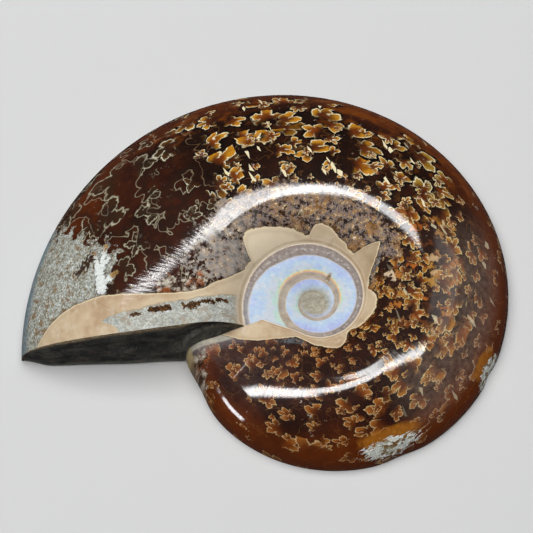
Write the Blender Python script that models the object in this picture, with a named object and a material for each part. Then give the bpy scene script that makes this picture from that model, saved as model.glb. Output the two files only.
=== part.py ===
"""Ammonite fossil half: one polished, sawn half of a coiled shell, lying on its sawn face.

The shell grew as a logarithmic spiral about a pole.  Every section of it, from the aperture cut
round one full turn, is nearly the same profile made smaller, so the body is one loft along that
spiral.  The sawn face is flat and down, the polished side is up, the aperture cut faces -Y.
"""
import math

import bmesh
import bpy
import numpy as np
from mathutils import Vector

# Driving dimensions, in metres and degrees.
RIM_RADIUS = 0.0573           # pole to rim, at the tip of the aperture cut
WHORL_GROWTH = 2.219          # how much larger the shell is after one turn
APERTURE_ANGLE = 189.1        # direction of the aperture tip from the pole
CUT_SWAY = 17.6               # how far the aperture cut swings round as it nears the pole
CUT_LEAN = 2.5                # how far its upper edge leans back
LEAN_REACH = 0.06             # the share of a turn over which that lean dies out
LEAN_SKEW = 0.6               # below 1 the lean is greatest near the seam

PIT_HEIGHT = 0.0068           # middle of the umbilicus above the sawn face
DISH_RISE = 0.00355           # rise from there to the dish of inner whorls
DISH_RADIUS = 0.0052
CREST_RISE = 0.0064           # the last whorl's crest above that dish
CREST_FADE = 1.2              # how fast the crest fades round the turn

SEAM = 0.245                  # umbilical seam, as a share of the rim radius
CREST = 0.42                  # crest, as a share of the rim radius
OLD_CREST = SEAM * WHORL_GROWTH
WALL_POWER = 2.2              # roundness of the wall down to the seam
FLANK_POWER = 2.1             # superellipse of the flank and the rim
RIM_POWER = 2.1
WHORL_BULGE = 0.055           # height of the small inner whorls over their radius

# Places where the rim is worn: degrees from the tip, half width in degrees, depth.
RIM_NICKS = (
    (209.0, 3.0, 0.00040),
    (249.0, 4.5, 0.00090),
    (330.0, 3.5, 0.00040),
)
NICK_FADE = 8                 # power that keeps the wear near the rim

LEDGE_DEPTH = 0.0008          # step of the lower part of the aperture cut
LEDGE_LEVEL = 0.58            # where it starts, from the upper edge down
HOLLOW_DEPTH = 0.0012         # pit at the inner end of the cut
HOLLOW_PLACE = 0.86           # where it is, from the tip inwards
HOLLOW_WIDTH = 0.08
FOOT_BULGE = 0.0014           # how far the lower part of the cut stands out
FOOT_SHARE = 0.7              # the share of that which reaches down to its foot

COLUMNS = 96                  # sections round the turn
FLANK_ROWS = 12               # rows from the rim to the older crest
WHORL_ROWS = 6                # rows across each inner whorl
INNER_WHORLS = 3              # whorls from the older crest to the pit
FACE_ROWS = 7                 # rows down the aperture cut
FACE_COLUMNS = 26             # places along the inner rows of the cut
BASE_STEPS = 10               # places along the foot of the cut

TURN = 2.0 * math.pi
TIGHTNESS = math.log(WHORL_GROWTH) / TURN
NODE_NAME = "ammonite_half"


def clamp(value):
    """Keep a value between 0 and 1."""
    return min(max(value, 0.0), 1.0)


def smooth_step(start, end, value):
    """Smooth ramp from 0 at start to 1 at end; it runs down where end is below start."""
    ramp = clamp((value - start) / (end - start))
    return ramp * ramp * (3.0 - 2.0 * ramp)


def row_shares():
    """Radius of each row as a share of the rim radius: close together at the rim, then a
    fixed number to a whorl, so that one turn's end meets the next one's start."""
    shares = []
    for row in range(FLANK_ROWS):
        reach = math.cos(0.5 * math.pi * row / FLANK_ROWS) ** (2.0 / FLANK_POWER)
        shares.append(OLD_CREST + (1.0 - OLD_CREST) * reach)
    for row in range(INNER_WHORLS * WHORL_ROWS + 1):
        shares.append(OLD_CREST * WHORL_GROWTH ** (-row / WHORL_ROWS))
    return shares


def rim_wear(turn_angle):
    """How much the rim is worn back at an angle from the tip, in metres."""
    degrees = math.degrees(turn_angle)
    return sum(depth * math.exp(-((degrees - middle) / width) ** 2)
               for middle, width, depth in RIM_NICKS)


def dish_height(radius):
    """Height of the umbilicus, a shallow dish with a pit in the middle."""
    return PIT_HEIGHT + DISH_RISE * (1.0 - math.exp(-(radius / DISH_RADIUS) ** 1.5))


def inner_whorl_bulge(share, turn, radius):
    """Rounded back of each small whorl between its seams, fading in on the older whorl."""
    whorl = math.log(SEAM / share) / math.log(WHORL_GROWTH)
    if whorl < -1.0:
        return 0.0
    fade = 1.0 if whorl >= 0.0 else turn ** 5
    return WHORL_BULGE * radius * fade * math.sin(math.pi * (whorl % 1.0))


def shell_point(turn, share):
    """Point of the polished side: turn runs 0 to 1 from the aperture, share is 1 at the rim."""
    plain_radius = share * RIM_RADIUS * math.exp(-TIGHTNESS * TURN * turn)
    sway = math.radians(CUT_SWAY) * (1.0 - plain_radius / RIM_RADIUS)
    angle_on = TURN * turn - sway
    radius = plain_radius * math.exp(TIGHTNESS * sway)

    across = clamp((share - SEAM) / (CREST - SEAM))
    wall = 1.0 - (1.0 - across) ** WALL_POWER
    top = dish_height(radius) + CREST_RISE * (1.0 - turn) ** CREST_FADE * wall
    top += inner_whorl_bulge(share, turn, radius)

    crest = CREST + (OLD_CREST - CREST) * turn ** 4
    outward = clamp((share - crest) / (1.0 - crest))
    fall = (1.0 - outward ** FLANK_POWER) ** (1.0 / RIM_POWER)

    radius -= rim_wear(angle_on) * outward ** NICK_FADE
    at_cut = max(1.0 - turn / LEAN_REACH, 0.0) ** 2
    from_seam = clamp((share - SEAM) / (1.0 - SEAM))
    lean = CUT_LEAN * at_cut * math.sin(math.pi * from_seam ** LEAN_SKEW)
    angle = math.radians(APERTURE_ANGLE - lean) - angle_on
    return Vector((radius * math.cos(angle), radius * math.sin(angle), top * fall))


def foot_swelling(along):
    """How far the lower part of the cut stands out, from the tip to the inner end."""
    return FOOT_BULGE * smooth_step(0.0, 0.2, along) * smooth_step(0.75, 0.4, along)


def cut_relief(along, down):
    """How far the aperture cut stands out: a ledge along its lower part that dies out at both
    ends, and the swelling over the foot, less the pit at its inner end."""
    window = smooth_step(0.25, 0.55, along) * smooth_step(1.0, 0.85, along)
    ledge = LEDGE_DEPTH * window * smooth_step(LEDGE_LEVEL - 0.1, LEDGE_LEVEL + 0.04, down)
    swelling = foot_swelling(along) * (1.0 - FOOT_SHARE) * down
    spread = math.exp(-((along - HOLLOW_PLACE) / HOLLOW_WIDTH) ** 2)
    return ledge + swelling - HOLLOW_DEPTH * spread * math.sin(math.pi * down)


def add_polished_side(bm, shares):
    """Loft the profile round one turn.  From the older crest inwards the last section is the
    first one, a whorl further in, so only its outer rows end at the aperture cut."""
    columns = []
    for column in range(COLUMNS):
        turn = column / COLUMNS
        columns.append([bm.verts.new(shell_point(turn, share)) for share in shares])
    outer = [bm.verts.new(shell_point(1.0, share)) for share in shares[:FLANK_ROWS]]
    columns.append(outer + columns[0][FLANK_ROWS + WHORL_ROWS:])

    for near, far in zip(columns, columns[1:]):
        for row in range(min(len(near), len(far)) - 1):
            bm.faces.new((near[row], near[row + 1], far[row + 1], far[row]))
    return columns


def close_pit(bm, columns):
    """Close the innermost turn on itself, then fan its last row in to the pole."""
    first = columns[0][-1]
    last_column = columns[-2][-WHORL_ROWS - 1:]
    for here, inward in zip(last_column, last_column[1:]):
        bm.faces.new((here, inward, first))
    ring = [column[-1] for column in columns[:-1]]
    pole = bm.verts.new((0.0, 0.0, PIT_HEIGHT))
    for here, ahead in zip(ring, ring[1:] + ring[:1]):
        bm.faces.new((here, pole, ahead))


def zip_rows(bm, upper, lower):
    """Triangles between two rows of vertices that run the same way, matched by their X."""
    top, foot = 0, 0
    while top < len(upper) - 1 or foot < len(lower) - 1:
        at_end = foot == len(lower) - 1
        step_top = at_end or (top < len(upper) - 1 and upper[top + 1].co.x < lower[foot + 1].co.x)
        ahead = upper[top + 1] if step_top else lower[foot + 1]
        corners = (upper[top], lower[foot], ahead)
        if len(set(corners)) == 3:
            bm.faces.new(corners)
        top += step_top
        foot += not step_top


def add_aperture_cut(bm, columns):
    """The rough cut across the last whorl, from its upper edge down to the foot and the older
    whorl below it.  Returns the vertices of the foot."""
    upper = columns[0][:FLANK_ROWS + WHORL_ROWS + 1]
    older = columns[-1][:FLANK_ROWS + 1]
    tip, corner = upper[0].co, older[0].co
    foot = []
    for step in range(1, BASE_STEPS):
        place = tip.lerp(corner, step / BASE_STEPS)
        along = (place.x - tip.x) / (upper[-1].co.x - tip.x)
        place.y -= FOOT_SHARE * foot_swelling(along)
        foot.append(bm.verts.new(place))
    lower = [upper[0]] + foot + older

    top_line = np.array([vert.co for vert in upper])
    low_line = np.array([vert.co for vert in lower])
    rows = [upper]
    for row in range(1, FACE_ROWS):
        down = row / FACE_ROWS
        inner = []
        for column in range(1, FACE_COLUMNS):
            along = column / FACE_COLUMNS
            x = tip.x + along * (upper[-1].co.x - tip.x)
            y_top, z_top = (np.interp(x, top_line[:, 0], top_line[:, axis]) for axis in (1, 2))
            y_low, z_low = (np.interp(x, low_line[:, 0], low_line[:, axis]) for axis in (1, 2))
            y = y_top + down * (y_low - y_top) - cut_relief(along, down)
            inner.append(bm.verts.new((x, y, z_top + down * (z_low - z_top))))
        rows.append([upper[0]] + inner + [upper[-1]])
    rows.append(lower)
    for above, below in zip(rows, rows[1:]):
        zip_rows(bm, above, below)
    return foot


def close_sawn_face(bm, columns, foot):
    """One flat face inside the rim and the foot of the cut."""
    rim = [column[0] for column in columns]
    face = bm.faces.new(rim + foot[::-1])
    bmesh.ops.triangulate(bm, faces=[face])


def make_material():
    """Polished brown shell."""
    material = bpy.data.materials.new("polished_shell")
    material.use_nodes = True
    shader = material.node_tree.nodes["Principled BSDF"]
    shader.inputs["Base Color"].default_value = (0.12, 0.045, 0.015, 1.0)
    shader.inputs["Roughness"].default_value = 0.15
    shader.inputs["Metallic"].default_value = 0.0
    return material


def make_fossil(collection):
    """Build the half as one closed solid, centred over its sawn face."""
    bm = bmesh.new()
    columns = add_polished_side(bm, row_shares())
    close_pit(bm, columns)
    foot = add_aperture_cut(bm, columns)
    close_sawn_face(bm, columns, foot)
    bmesh.ops.recalc_face_normals(bm, faces=bm.faces)

    low = Vector([min(vert.co[axis] for vert in bm.verts) for axis in range(3)])
    high = Vector([max(vert.co[axis] for vert in bm.verts) for axis in range(3)])
    middle = (low + high) / 2.0
    bmesh.ops.translate(bm, verts=bm.verts, vec=(-middle.x, -middle.y, -low.z))

    mesh = bpy.data.meshes.new(NODE_NAME)
    bm.to_mesh(mesh)
    bm.free()
    mesh.materials.append(make_material())
    mesh.shade_smooth()
    mesh.set_sharp_from_angle(angle=math.radians(35.0))
    fossil = bpy.data.objects.new(NODE_NAME, mesh)
    collection.objects.link(fossil)
    return fossil


def main():
    """Clear the scene and build the fossil in a collection of its own."""
    for old in list(bpy.data.objects):
        bpy.data.objects.remove(old, do_unlink=True)
    collection = bpy.data.collections.new("ammonite_fossil_half")
    bpy.context.scene.collection.children.link(collection)
    make_fossil(collection)


main()
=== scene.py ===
import math

import bmesh
import bpy
import numpy as np
from mathutils import Matrix, Vector, noise


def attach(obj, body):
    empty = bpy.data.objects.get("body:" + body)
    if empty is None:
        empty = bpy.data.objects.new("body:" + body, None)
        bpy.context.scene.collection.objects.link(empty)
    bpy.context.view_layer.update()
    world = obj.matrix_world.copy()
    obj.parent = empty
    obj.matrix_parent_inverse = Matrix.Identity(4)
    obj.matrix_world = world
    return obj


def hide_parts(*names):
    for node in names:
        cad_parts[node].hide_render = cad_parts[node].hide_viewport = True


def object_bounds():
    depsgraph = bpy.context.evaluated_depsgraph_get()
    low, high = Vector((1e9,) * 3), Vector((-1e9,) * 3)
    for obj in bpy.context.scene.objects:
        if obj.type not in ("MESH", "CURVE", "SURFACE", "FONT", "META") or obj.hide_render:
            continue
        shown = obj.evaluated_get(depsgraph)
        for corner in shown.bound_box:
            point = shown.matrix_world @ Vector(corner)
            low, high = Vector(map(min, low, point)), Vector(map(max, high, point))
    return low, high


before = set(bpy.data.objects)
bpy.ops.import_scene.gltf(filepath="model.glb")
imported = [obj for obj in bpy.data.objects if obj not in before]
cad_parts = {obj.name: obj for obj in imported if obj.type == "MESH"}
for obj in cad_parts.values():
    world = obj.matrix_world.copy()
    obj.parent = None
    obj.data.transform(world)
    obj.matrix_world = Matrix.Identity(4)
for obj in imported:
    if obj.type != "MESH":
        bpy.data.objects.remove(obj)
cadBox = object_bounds()
milli = 1000.0                    # millimetres in a metre
print("frame loaded, box", [round(v * milli, 1) for v in cadBox[1] - cadBox[0]], "mm")


# one output socket with arithmetic on it, so that a formula in nodes reads as a formula
class Wire:
    def __init__(self, tree, socket):
        self.tree = tree
        self.socket = socket

    def math(self, operation, *others):
        node = self.tree.nodes.new("ShaderNodeMath")
        node.operation = operation
        for place, value in enumerate((self, *others)):
            plug(node.inputs[place], value)
        return Wire(self.tree, node.outputs[0])

    def __add__(self, other):
        return self.math("ADD", other)

    def __radd__(self, other):
        return self.math("ADD", other)

    def __sub__(self, other):
        return self.math("SUBTRACT", other)

    def __rsub__(self, other):
        return wire(self.tree, other).math("SUBTRACT", self)

    def __mul__(self, other):
        return self.math("MULTIPLY", other)

    def __rmul__(self, other):
        return self.math("MULTIPLY", other)

    def __truediv__(self, other):
        return self.math("DIVIDE", other)

    def __rtruediv__(self, other):
        return wire(self.tree, other).math("DIVIDE", self)

    def __pow__(self, other):
        return self.math("POWER", other)

    def __neg__(self):
        return self.math("MULTIPLY", -1.0)

    def sine(self):
        return self.math("SINE")

    def cosine(self):
        return self.math("COSINE")

    def exp(self):
        return self.math("EXPONENT")

    def log(self, base):
        return self.math("LOGARITHM", base)

    def floor(self):
        return self.math("FLOOR")

    def fraction(self):
        return self.math("FRACT")

    def absolute(self):
        return self.math("ABSOLUTE")

    def atLeast(self, other):
        return self.math("MAXIMUM", other)

    def atMost(self, other):
        return self.math("MINIMUM", other)

    def clamp(self):
        return self.atLeast(0.0).atMost(1.0)

    # a bump of height 1 around zero
    def bell(self, width):
        return (-((self / width) * (self / width))).exp()

    # smooth ramp from 0 at start to 1 at end
    def ramp(self, start, end):
        node = self.tree.nodes.new("ShaderNodeMapRange")
        node.interpolation_type = "SMOOTHSTEP"
        for name, value in (("Value", self), ("From Min", start), ("From Max", end)):
            plug(node.inputs[name], value)
        return Wire(self.tree, node.outputs["Result"])


def plug(socket, value):
    if isinstance(value, Wire):
        value.tree.links.new(value.socket, socket)
    elif socket.type == "RGBA":
        socket.default_value = (*linear(value), 1.0)
    else:
        socket.default_value = value


def wire(tree, value):
    node = tree.nodes.new("ShaderNodeValue")
    node.outputs[0].default_value = value
    return Wire(tree, node.outputs[0])


# a colour as it is seen, 0 to 255, as the shader wants it
def linear(seen):
    return [(v / 255 / 12.92) if v <= 10 else ((v / 255 + 0.055) / 1.055) ** 2.4 for v in seen]


# sizes in metres and degrees; shares are of the rim radius at that place on the spiral
shell = {
    "rimRadius": 0.0573,          # at the tip, where the last whorl is widest
    "whorlGrowth": 2.219,         # how much wider each turn is than the one inside it
    "apertureAngle": 189.1,       # direction of the tip, from +X
    "cutSway": 17.6,              # how far the cut swings round between the rim and the pole
    "cutLean": 2.5,
    "leanReach": 0.06,            # in turns from the cut
    "leanSkew": 0.6,
    "pitHeight": 0.0068,
    "dishRise": 0.00355,          # from the pit up to the small whorls
    "dishRadius": 0.0052,
    "crestRise": 0.0064,          # from the small whorls up to the crest at the tip
    "crestFade": 1.2,
    "seam": 0.245,                # share out where the last whorl meets the small ones
    "crest": 0.42,                # share out where the last whorl is highest, at the tip
    "cornerPower": 6.0,           # squarer rim where the older whorl comes out of the cut
    "wallPower": 2.2,             # higher powers make the wall, flank and rim squarer
    "flankPower": 2.1,
    "rimPower": 2.1,
    "whorlBulge": 0.055,          # height of each small whorl's back, as a share of its radius
    "columns": 480,               # steps along the spiral
    "flankRows": 84,
    "whorlRows": 20,              # rows for each turn further in than the flank
    "innerWhorls": 4,
}
rimNicks = (                      # degrees from the tip, half width, depth
    (209.0, 3.0, 0.00040),
    (249.0, 6.5, 0.00045),
    (335.0, 10.0, 0.00080),
)


def buildShellTree():
    tree = bpy.data.node_groups.new("polishedSide", "GeometryNodeTree")
    counts = ("columns", "flankRows", "whorlRows", "innerWhorls")
    for name in shell:
        kind = "NodeSocketInt" if name in counts else "NodeSocketFloat"
        tree.interface.new_socket(name, in_out="INPUT", socket_type=kind)
    tree.interface.new_socket("material", in_out="INPUT", socket_type="NodeSocketMaterial")
    tree.interface.new_socket("Geometry", in_out="OUTPUT", socket_type="NodeSocketGeometry")
    given = tree.nodes.new("NodeGroupInput")
    size = {name: Wire(tree, given.outputs[name]) for name in shell}

    # a flat sheet: along it the turn of the spiral, across it the row from rim to pit
    sheet = tree.nodes.new("GeometryNodeMeshGrid")
    rows = size["flankRows"] + size["whorlRows"] * size["innerWhorls"]
    plug(sheet.inputs["Vertices X"], size["columns"] + 1)
    plug(sheet.inputs["Vertices Y"], rows + 1)
    place = tree.nodes.new("GeometryNodeInputPosition")
    split = tree.nodes.new("ShaderNodeSeparateXYZ")
    tree.links.new(place.outputs[0], split.inputs[0])
    along = (Wire(tree, split.outputs[0]) + 0.5).clamp()
    row = ((Wire(tree, split.outputs[1]) + 0.5) * rows).math("ROUND")

    # columns stand closer together where the shell is smaller
    growth = size["whorlGrowth"]
    turn = (1.0 - along * (1.0 - 1.0 / growth)).log(math.e) / growth.log(math.e) * -1.0
    oldCrest = size["seam"] * growth
    flank = (row / size["flankRows"]).atMost(1.0) * (math.pi / 2)
    reach = flank.cosine().atLeast(0.0) ** (2.0 / size["flankPower"])
    inward = (row - size["flankRows"]).atLeast(0.0) / size["whorlRows"]
    share = (oldCrest + (1.0 - oldCrest) * reach) * growth ** (-inward)

    # the spiral, with the cut swinging round as it nears the pole
    tightness = growth.log(math.e) / math.tau
    plainRadius = share * size["rimRadius"] * growth ** (-turn)
    sway = size["cutSway"] * (math.pi / 180) * (1.0 - plainRadius / size["rimRadius"])
    angleOn = turn * math.tau - sway
    radius = plainRadius * (tightness * sway).exp()

    # height: dish and pit, small whorls, last whorl's wall and crest, and the fall to the rim
    hollow = (-((radius / size["dishRadius"]) ** 1.5)).exp()
    top = size["pitHeight"] + size["dishRise"] * (1.0 - hollow)
    across = ((share - size["seam"]) / (size["crest"] - size["seam"])).clamp()
    wall = 1.0 - (1.0 - across) ** size["wallPower"]
    top = top + size["crestRise"] * (1.0 - turn).clamp() ** size["crestFade"] * wall
    whorl = (size["seam"] / share).log(math.e) / growth.log(math.e)
    isInner = whorl.math("GREATER_THAN", -1e-5)
    isOlder = whorl.math("GREATER_THAN", -1.00001) - isInner
    fade = isInner + isOlder * turn ** 5.0
    back = ((whorl + 2.0).fraction() * math.pi).sine()
    top = top + size["whorlBulge"] * radius * fade * back
    crest = size["crest"] + (oldCrest - size["crest"]) * turn ** 4.0
    outward = ((share - crest) / (1.0 - crest)).clamp()
    flankPower = size["flankPower"] + size["cornerPower"] * turn.ramp(0.93, 1.0)
    fall = (1.0 - outward ** flankPower).clamp() ** (1.0 / size["rimPower"])

    # worn places on the rim
    degreesOn = angleOn * (180 / math.pi)
    for middle, width, depth in rimNicks:
        nick = (-(((degreesOn - middle) / width) ** 2.0)).exp()
        radius = radius - nick * depth * outward ** 8.0

    # near the cut the upper edge leans back
    atCut = (1.0 - turn / size["leanReach"]).atLeast(0.0) ** 2.0
    fromSeam = ((share - size["seam"]) / (1.0 - size["seam"])).clamp()
    lean = size["cutLean"] * atCut * ((fromSeam ** size["leanSkew"]) * math.pi).sine()
    angle = (size["apertureAngle"] - lean) * (math.pi / 180) - angleOn
    point = tree.nodes.new("ShaderNodeCombineXYZ")
    for axis, value in enumerate((radius * angle.cosine(), radius * angle.sine(), top * fall)):
        plug(point.inputs[axis], value)

    # keep turn and share on the corners, so that they may jump where the spiral meets itself
    spiral = tree.nodes.new("ShaderNodeCombineXYZ")
    plug(spiral.inputs[0], turn)
    plug(spiral.inputs[1], share)
    keep = tree.nodes.new("GeometryNodeStoreNamedAttribute")
    keep.data_type, keep.domain = "FLOAT2", "CORNER"
    keep.inputs["Name"].default_value = "spiral"
    tree.links.new(sheet.outputs["Mesh"], keep.inputs["Geometry"])
    tree.links.new(spiral.outputs[0], keep.inputs["Value"])

    move = tree.nodes.new("GeometryNodeSetPosition")
    merge = tree.nodes.new("GeometryNodeMergeByDistance")
    merge.inputs["Distance"].default_value = 2e-6
    real = tree.nodes.new("GeometryNodeRealizeInstances")
    paint = tree.nodes.new("GeometryNodeSetMaterial")
    out = tree.nodes.new("NodeGroupOutput")
    tree.links.new(keep.outputs["Geometry"], move.inputs["Geometry"])
    tree.links.new(point.outputs[0], move.inputs["Position"])
    tree.links.new(move.outputs[0], merge.inputs["Geometry"])
    tree.links.new(merge.outputs[0], real.inputs[0])
    tree.links.new(real.outputs[0], paint.inputs["Geometry"])
    tree.links.new(given.outputs["material"], paint.inputs["Material"])
    tree.links.new(paint.outputs[0], out.inputs["Geometry"])
    return tree


def evaluateTree(name, tree, values, material):
    holder = bpy.data.objects.new(name, bpy.data.meshes.new(name))
    bpy.context.scene.collection.objects.link(holder)
    modifier = holder.modifiers.new(name, "NODES")
    modifier.node_group = tree
    for item in tree.interface.items_tree:
        if item.in_out == "INPUT":
            modifier[item.identifier] = material if item.name == "material" else values[item.name]
    graph = bpy.context.evaluated_depsgraph_get()
    mesh = bpy.data.meshes.new_from_object(
        holder.evaluated_get(graph), preserve_all_data_layers=True, depsgraph=graph)
    bpy.data.objects.remove(holder)
    return mesh


# the broken cut; levels run from its upper edge down, places from the tip inwards
cut = {
    "ledgeDepth": 0.0008,
    "ledgeLevel": 0.58,
    "hollowDepth": 0.0012,        # pit at the inner end
    "hollowPlace": 0.86,
    "hollowWidth": 0.08,
    "footBulge": 0.0012,
    "footShare": 0.7,             # how much of the bulge the foot itself has
    "rows": 26,
    "columns": 110,
    "footSteps": 60,
    "grain": 0.00028,             # height of the broken surface
}


def smoothStep(start, end, value):
    ramp = np.clip((value - start) / (end - start), 0.0, 1.0)
    return ramp * ramp * (3.0 - 2.0 * ramp)


def footSwelling(along):
    return cut["footBulge"] * smoothStep(0.0, 0.14, along) * smoothStep(0.66, 0.2, along)


def cutRelief(along, down):
    window = smoothStep(0.25, 0.55, along) * smoothStep(1.0, 0.85, along)
    ledge = smoothStep(cut["ledgeLevel"] - 0.1, cut["ledgeLevel"] + 0.04, down)
    swelling = footSwelling(along) * (1.0 - cut["footShare"]) * down
    spread = math.exp(-((along - cut["hollowPlace"]) / cut["hollowWidth"]) ** 2)
    pit = cut["hollowDepth"] * spread * math.sin(math.pi * down)
    return cut["ledgeDepth"] * window * ledge + swelling - pit


# broken stone: flakes with sharp edges, flattest beside the polished edge
def brokenGrain(point, down):
    at = Vector(point) * milli
    flakes = noise.voronoi(at * 0.22)[0]
    rough = (flakes[1] - flakes[0]) * 0.8 + noise.fractal(at * 0.9, 0.8, 2.1, 4) * 0.6
    return cut["grain"] * rough * math.sin(math.pi * min(down * 1.15, 1.0)) ** 0.5


# triangles between two rows of points that run the same way, matched by their X
def zipRows(bm, upper, lower, material):
    top = foot = 0
    while top < len(upper) - 1 or foot < len(lower) - 1:
        atEnd = foot == len(lower) - 1
        stepTop = atEnd or (top < len(upper) - 1 and upper[top + 1].co.x < lower[foot + 1].co.x)
        corners = (upper[top], lower[foot], upper[top + 1] if stepTop else lower[foot + 1])
        if len(set(corners)) == 3:
            bm.faces.new(corners).material_index = material
        top += stepTop
        foot += not stepTop


# the points of one row or column of the spiral grid, in order
def gridLine(bm, spiral, fixed, value, lowest=-1.0):
    free = 1 - fixed
    found = {}
    for face in bm.faces:
        for corner in face.loops:
            at = corner[spiral].uv
            if abs(at[fixed] - value) < 2e-6 and at[free] > lowest - 2e-6:
                found[round(at[free], 5)] = corner.vert
    return [found[key] for key in sorted(found)]


def closeShell(mesh):
    bm = bmesh.new()
    bm.from_mesh(mesh)
    for face in bm.faces:
        face.material_index = 0
    spiral = bm.loops.layers.uv["spiral"]
    upper = gridLine(bm, spiral, 0, 0.0, shell["seam"])[::-1]
    older = gridLine(bm, spiral, 0, 1.0, shell["seam"] * shell["whorlGrowth"])[::-1]
    rim = gridLine(bm, spiral, 1, 1.0)
    pit = [edge for edge in bm.edges if edge.is_boundary
           and max(vert.co.xy.length for vert in edge.verts) < 0.003]
    bmesh.ops.holes_fill(bm, edges=pit, sides=0)

    tip, corner, inner = upper[0].co, older[0].co, upper[-1].co
    foot = []
    for step in range(1, cut["footSteps"]):
        place = tip.lerp(corner, step / cut["footSteps"])
        place.y -= cut["footShare"] * footSwelling((place.x - tip.x) / (inner.x - tip.x))
        foot.append(bm.verts.new(place))
    lower = [upper[0], *foot, *older]
    topLine = np.array([vert.co for vert in upper])
    lowLine = np.array([vert.co for vert in lower])
    span = inner.x - tip.x
    placeOn = {vert: ((vert.co.x - tip.x) / span, 0.0) for vert in upper}
    placeOn.update({vert: ((vert.co.x - tip.x) / span, 1.0) for vert in foot + older})
    rows = [upper]
    for row in range(1, cut["rows"]):
        down = row / cut["rows"]
        line = [upper[0]]
        for column in range(1, cut["columns"]):
            along = column / cut["columns"]
            x = tip.x + along * (inner.x - tip.x)
            yTop, zTop = (np.interp(x, topLine[:, 0], topLine[:, axis]) for axis in (1, 2))
            yLow, zLow = (np.interp(x, lowLine[:, 0], lowLine[:, axis]) for axis in (1, 2))
            point = [x, yTop + down * (yLow - yTop), zTop + down * (zLow - zTop)]
            ends = min(1.0, 12.0 * along, 12.0 * (1.0 - along))
            point[1] -= cutRelief(along, down) + brokenGrain(point, down) * ends
            line.append(bm.verts.new(point))
            placeOn[line[-1]] = (along, down)
        rows.append(line + [upper[-1]])
    rows.append(lower)
    for above, below in zip(rows, rows[1:]):
        zipRows(bm, above, below, 1)
    for face in bm.faces:
        if face.material_index == 1:
            for corner in face.loops:
                corner[spiral].uv = placeOn[corner.vert]

    sawn = bm.faces.new(rim + foot[::-1])
    sawn.material_index = 2
    bmesh.ops.triangulate(bm, faces=[sawn])
    bmesh.ops.triangulate(bm, faces=[face for face in bm.faces if len(face.verts) > 4])
    bmesh.ops.recalc_face_normals(bm, faces=bm.faces)
    low = Vector(min(vert.co[axis] for vert in bm.verts) for axis in range(3))
    high = Vector(max(vert.co[axis] for vert in bm.verts) for axis in range(3))
    shift = (cadBox[0] + cadBox[1]) / 2 - (low + high) / 2
    shift.z = cadBox[0].z - low.z
    bmesh.ops.translate(bm, verts=bm.verts, vec=shift)
    openEdges = sum(not edge.is_manifold for edge in bm.edges)
    print("closed shell", len(bm.verts), "points,", openEdges, "open edges, pole at",
          [round(v * milli, 2) for v in shift], "size", [round(v * milli, 2) for v in high - low])
    closed = bpy.data.meshes.new("ammonite")
    for material in (polishedShell, brokenStone, sawnFace):
        closed.materials.append(material)
    bm.to_mesh(closed)
    bm.free()
    return closed, shift


# over laid on under, as far as share says; share or under is a wire
def blend(share, under, over):
    tree = share.tree if isinstance(share, Wire) else under.tree
    node = tree.nodes.new("ShaderNodeMix")
    node.data_type = "RGBA"
    plug(node.inputs[0], share)
    plug(node.inputs[6], under)
    plug(node.inputs[7], over)
    return Wire(tree, node.outputs[2])


def vector(x, y, z):
    node = x.tree.nodes.new("ShaderNodeCombineXYZ")
    for socket, value in zip(node.inputs, (x, y, z)):
        plug(socket, value)
    return node.outputs[0]


def splitVector(tree, socket):
    node = tree.nodes.new("ShaderNodeSeparateXYZ")
    tree.links.new(socket, node.inputs[0])
    return [Wire(tree, output) for output in node.outputs]


def splitColour(tree, socket):
    node = tree.nodes.new("ShaderNodeSeparateColor")
    tree.links.new(socket, node.inputs[0])
    return [Wire(tree, output) for output in node.outputs]


# smooth noise from about -1 to 1
def drift(x, y, scale, detail, seed, roughness=0.55):
    tree = x.tree
    node = tree.nodes.new("ShaderNodeTexNoise")
    node.inputs["Scale"].default_value = scale
    node.inputs["Detail"].default_value = detail
    node.inputs["Roughness"].default_value = roughness
    tree.links.new(vector(x, y, seed), node.inputs["Vector"])
    return (Wire(tree, node.outputs[0]) - 0.5) * 3.0


# three random values from 0 to 1 for a cell
def lots(x, y, seed):
    tree = x.tree
    node = tree.nodes.new("ShaderNodeTexWhiteNoise")
    tree.links.new(vector(x, y, seed), node.inputs["Vector"])
    return splitColour(tree, node.outputs["Color"])


# flat chips: three random values of each chip, and the distance to its edge
def chips(x, y, scale, seed):
    tree = x.tree
    found = []
    for feature in ("F1", "DISTANCE_TO_EDGE"):
        node = tree.nodes.new("ShaderNodeTexVoronoi")
        node.voronoi_dimensions = "2D"
        node.feature = feature
        node.inputs["Scale"].default_value = scale
        tree.links.new(vector(x + seed, y - seed, 0.0), node.inputs["Vector"])
        found.append(node)
    return splitColour(tree, found[0].outputs["Color"]), Wire(tree, found[1].outputs["Distance"])


# a smooth curve through given points
def curve(value, points):
    node = value.tree.nodes.new("ShaderNodeFloatCurve")
    xs = [point[0] for point in points]
    ys = [point[1] for point in points]
    low, high = min(ys), max(ys)
    line = node.mapping.curves[0]
    while len(line.points) < len(points):
        line.points.new(0.5, 0.5)
    for point, (x, y) in zip(line.points, points):
        point.location = ((x - xs[0]) / (xs[-1] - xs[0]), (y - low) / (high - low))
        point.handle_type = "AUTO_CLAMPED"
    node.mapping.update()
    plug(node.inputs["Value"], (value - xs[0]) * (1.0 / (xs[-1] - xs[0])))
    return Wire(value.tree, node.outputs[0]) * (high - low) + low


# how far along a line a place is, 0 to 1, and how far off it
def alongLine(x, y, startX, startY, endX, endY):
    runX, runY = endX - startX, endY - startY
    length = runX * runX + runY * runY
    part = (((x - startX) * runX + (y - startY) * runY) / length).clamp()
    offX = x - startX - part * runX
    offY = y - startY - part * runY
    return part, (offX * offX + offY * offY) ** 0.5


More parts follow.
